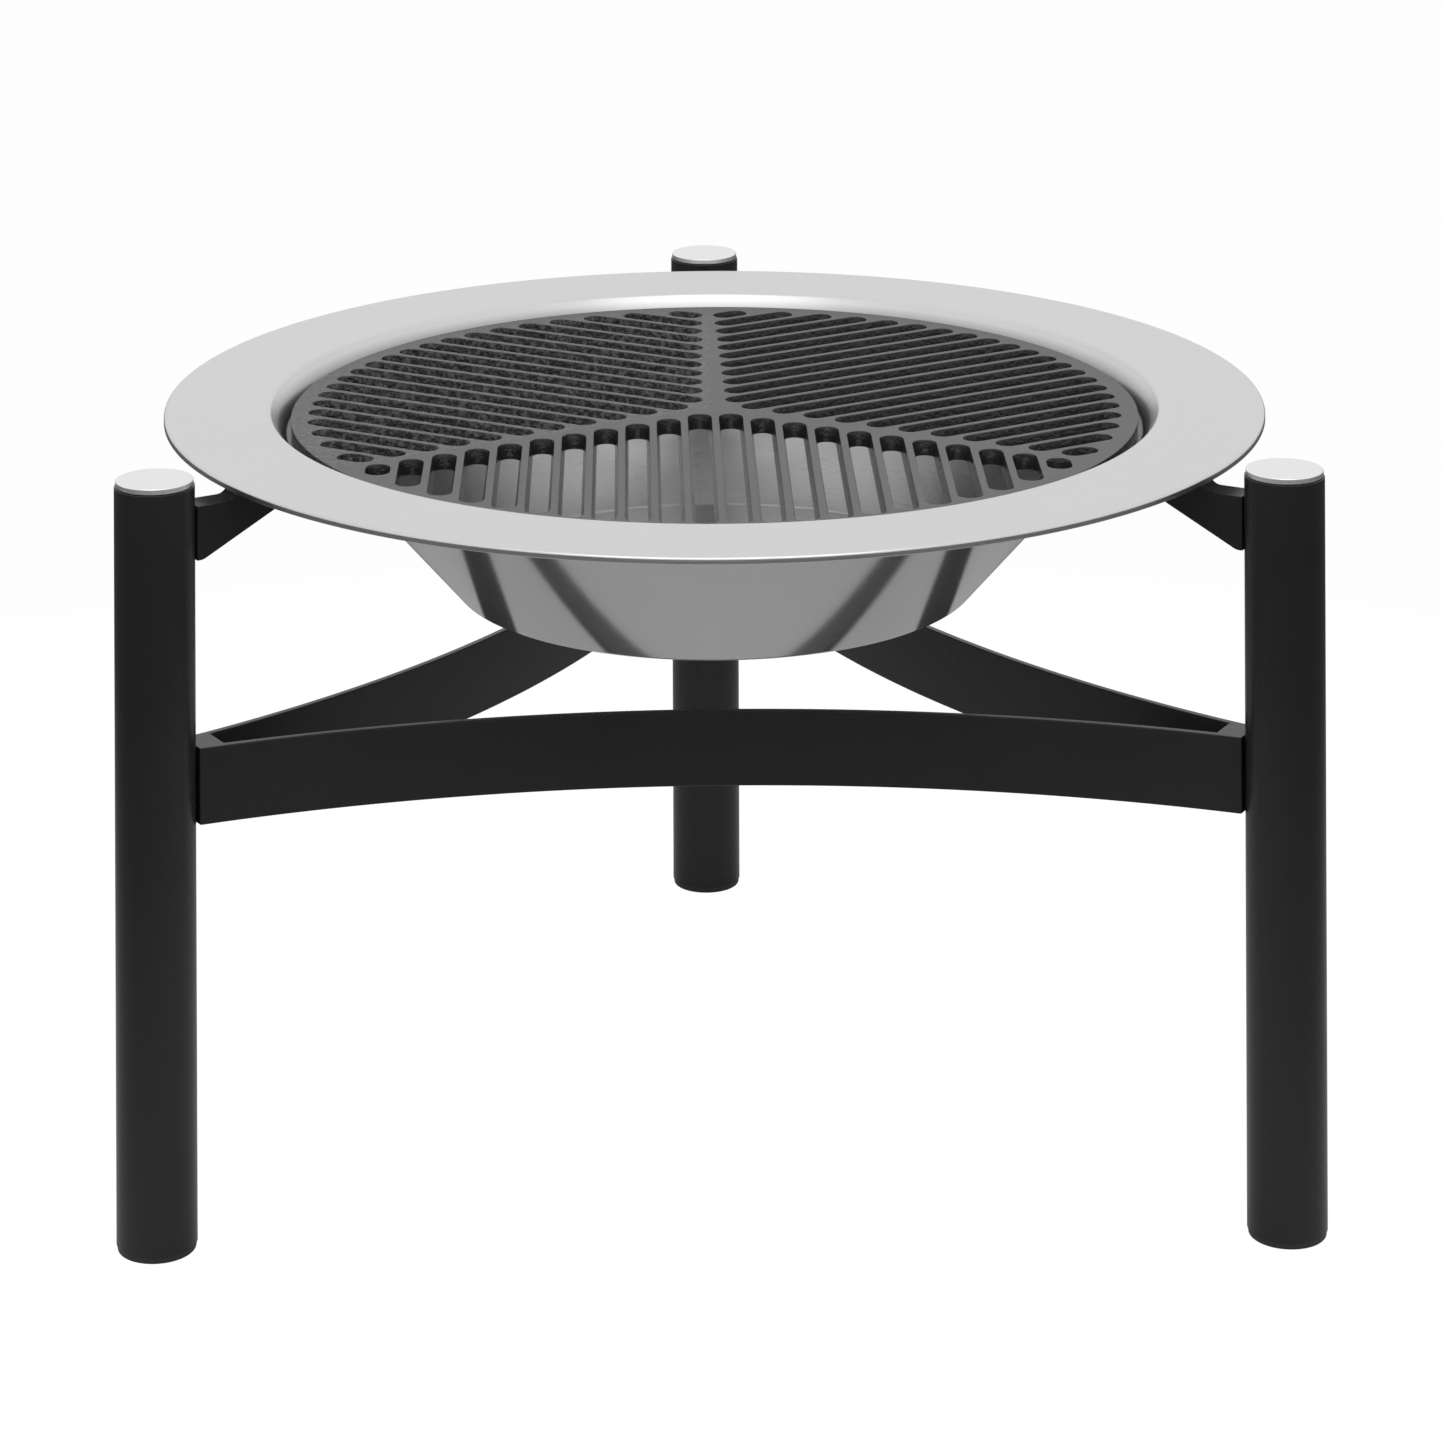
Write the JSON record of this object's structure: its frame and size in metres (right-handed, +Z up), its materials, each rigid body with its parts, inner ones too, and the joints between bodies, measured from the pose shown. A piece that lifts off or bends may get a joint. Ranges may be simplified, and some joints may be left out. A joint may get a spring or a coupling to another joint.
{
  "type": "fire pit with grate",
  "caption": "Three-legged fire pit: flanged conical steel bowl on brackets, slotted cast grate inside its mouth, bowed triangular frame tying the tube legs.",
  "frame": {"origin": "on the floor under the bowl axis, at equal distance from the three feet", "axes": "+Z up, +Y towards the rear leg, -Y between the two front legs"},
  "size_m": [0.767, 0.8104, 0.4856],
  "materials": {
    "powder_coat": "satin",
    "cap_steel": "satin",
    "foot_plastic": "matte",
    "screw_steel": "satin",
    "bowl_steel": "satin",
    "grate_iron": "matte"
  },
  "bodies": {
    "stand": {"leg_tube_left": "powder_coat", "leg_cap_left": "cap_steel", "leg_foot_left": "foot_plastic", "corner_block_left": "powder_coat", "bowl_bracket_left": "powder_coat", "frame_screws_left": "screw_steel", "frame_washers_left": "screw_steel", "rivet_nuts_left": "screw_steel", "leg_tube_right": "powder_coat", "leg_cap_right": "cap_steel", "leg_foot_right": "foot_plastic", "corner_block_right": "powder_coat", "bowl_bracket_right": "powder_coat", "frame_screws_right": "screw_steel", "frame_washers_right": "screw_steel", "rivet_nuts_right": "screw_steel", "leg_tube_rear": "powder_coat", "leg_cap_rear": "cap_steel", "leg_foot_rear": "foot_plastic", "corner_block_rear": "powder_coat", "bowl_bracket_rear": "powder_coat", "frame_screws_rear": "screw_steel", "frame_washers_rear": "screw_steel", "rivet_nuts_rear": "screw_steel", "frame_bar_front": "powder_coat", "frame_bar_right": "powder_coat", "frame_bar_left": "powder_coat"},
    "bowl": {"bowl": "bowl_steel"},
    "grate": {"grate": "grate_iron"}
  },
  "joints": [
    {"name": "bowl_lift", "type": "slide", "parent": "stand", "child": "bowl", "axis": [0, 0, 1], "range_m": [0, 0.135]},
    {"name": "grate_lift", "type": "slide", "parent": "bowl", "child": "grate", "axis": [0, 0, 1], "range_m": [0, 0.035]}
  ]
}
